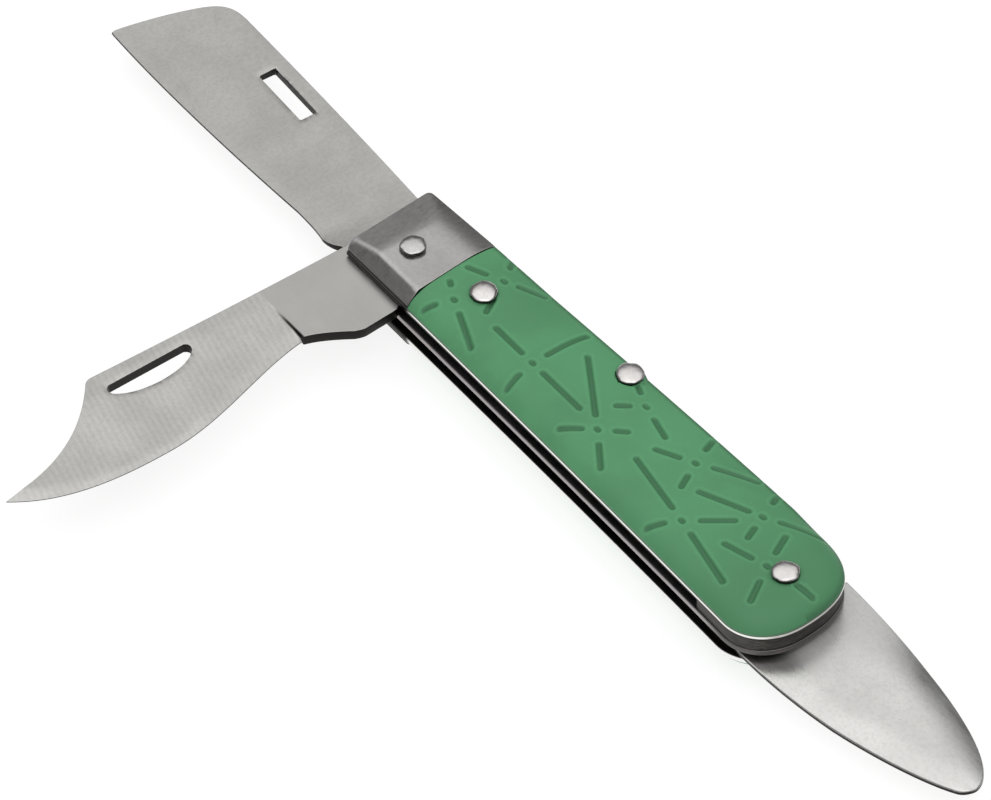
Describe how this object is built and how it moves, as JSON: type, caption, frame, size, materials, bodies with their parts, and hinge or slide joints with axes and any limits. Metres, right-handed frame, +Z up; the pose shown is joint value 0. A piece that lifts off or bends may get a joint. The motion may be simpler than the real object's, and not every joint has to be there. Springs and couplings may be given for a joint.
{
  "type": "folding grafting knife",
  "caption": "Folding garden knife with a straight grafting blade, a curved pruning blade, a grooved green plastic handle, steel bolsters and a fixed spoon-shaped bark lifter at the tail.",
  "frame": {"origin": "on the pivot axis, at the small flat of the pivot rivet's lower head, on which the knife lies", "axes": "+X along the handle from the head with the blades to the tail with the bark lifter, +Y towards the spine where the back springs are, +Z up through the stack of plates"},
  "size_m": [0.2122, 0.0966, 0.0154],
  "materials": {
    "green_plastic": "satin moulded plastic",
    "bolster_steel": "satin ground steel",
    "liner_steel": "plain rolled steel",
    "spring_steel": "dark tempered steel",
    "lifter_steel": "polished steel",
    "rivet_steel": "peened steel",
    "blade_steel": "satin ground stainless steel"
  },
  "bodies": {
    "handle": {"scale_top": "green_plastic", "scale_bottom": "green_plastic", "bolster_top": "bolster_steel", "bolster_bottom": "bolster_steel", "liner_bottom": "liner_steel", "liner_centre": "liner_steel", "liner_top": "liner_steel", "back_spring_lower": "spring_steel", "back_spring_upper": "spring_steel", "bark_lifter": "lifter_steel", "lifter_spacer": "liner_steel", "pivot_rivet": "rivet_steel", "spring_rivet": "rivet_steel", "tail_rivet": "rivet_steel", "scale_pin_top": "rivet_steel", "scale_pin_bottom": "rivet_steel"},
    "grafting_blade": {"grafting_blade": "blade_steel"},
    "pruning_blade": {"pruning_blade": "blade_steel"}
  },
  "joints": [
    {"name": "grafting_pivot", "type": "hinge", "parent": "handle", "child": "grafting_blade", "pos_m": [0, 0, 0.006], "axis": [0, 0, 1], "range_deg": [0, 180]},
    {"name": "pruning_pivot", "type": "hinge", "parent": "handle", "child": "pruning_blade", "pos_m": [0, 0, 0.0094], "axis": [0, 0, 1], "range_deg": [-90, 90]}
  ]
}
